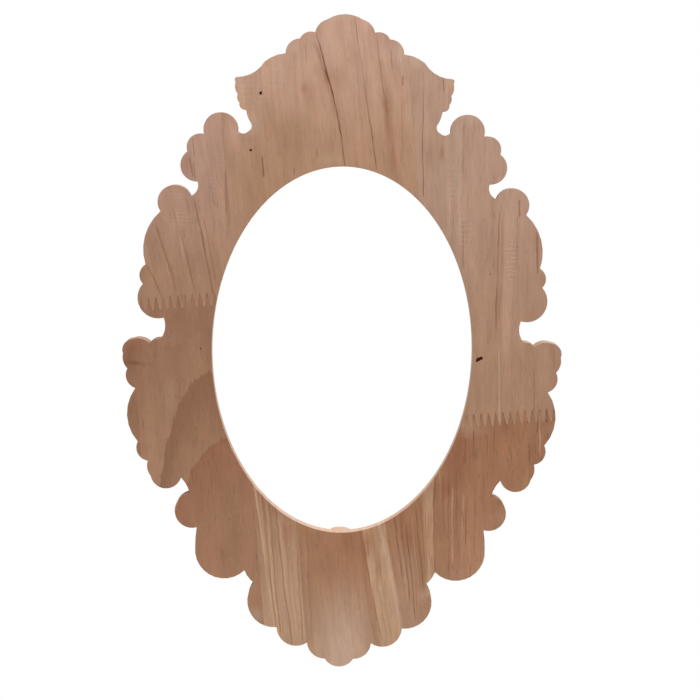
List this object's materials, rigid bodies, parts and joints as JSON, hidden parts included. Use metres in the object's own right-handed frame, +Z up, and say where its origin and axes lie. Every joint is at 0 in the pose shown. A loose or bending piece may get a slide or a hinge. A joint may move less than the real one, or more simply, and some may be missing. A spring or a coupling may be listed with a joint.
{
  "type": "oval photo frame",
  "caption": "Flat wooden photo frame with a scalloped outline and an oval opening, finger-jointed staves, a picture rebate, turn buttons and a sawtooth hanger on its back.",
  "frame": {"origin": "the hanging point: the middle notch of the sawtooth hanger, taken to the wood's back face", "axes": "+Z up along the frame's height, +Y out of the back towards the wall, +X to the right seen from the front"},
  "size_m": [0.2998, 0.0186, 0.4472],
  "materials": {
    "wood_pale": "bare planed and sanded",
    "wood_tan": "bare planed and sanded",
    "wood_brown": "bare planed and sanded",
    "button_brass": "stamped and plated",
    "hanger_steel": "stamped and zinc plated"
  },
  "bodies": {
    "frame": {"left_stave_upper": "wood_tan", "left_stave_lower": "wood_brown", "narrow_stave_top": "wood_pale", "narrow_stave_bottom": "wood_tan", "centre_stave_top": "wood_pale", "centre_stave_bottom": "wood_tan", "right_stave_upper": "wood_tan", "right_stave_lower": "wood_brown", "button_screw_top": "button_brass", "button_screw_right": "button_brass", "button_screw_bottom": "button_brass", "button_screw_left": "button_brass", "sawtooth_hanger": "hanger_steel", "hanger_screw_left": "hanger_steel", "hanger_screw_right": "hanger_steel"},
    "button_top": {"turn_button_top": "button_brass"},
    "button_right": {"turn_button_right": "button_brass"},
    "button_bottom": {"turn_button_bottom": "button_brass"},
    "button_left": {"turn_button_left": "button_brass"}
  },
  "joints": [
    {"name": "button_top_turn", "type": "hinge", "parent": "frame", "child": "button_top", "pos_m": [0, 0, -0.048], "axis": [0, 1, 0], "continuous": true},
    {"name": "button_right_turn", "type": "hinge", "parent": "frame", "child": "button_right", "pos_m": [0.103, 0, -0.1875], "axis": [0, 1, 0], "continuous": true},
    {"name": "button_bottom_turn", "type": "hinge", "parent": "frame", "child": "button_bottom", "pos_m": [0, 0, -0.327], "axis": [0, 1, 0], "continuous": true},
    {"name": "button_left_turn", "type": "hinge", "parent": "frame", "child": "button_left", "pos_m": [-0.103, 0, -0.1875], "axis": [0, 1, 0], "continuous": true}
  ]
}
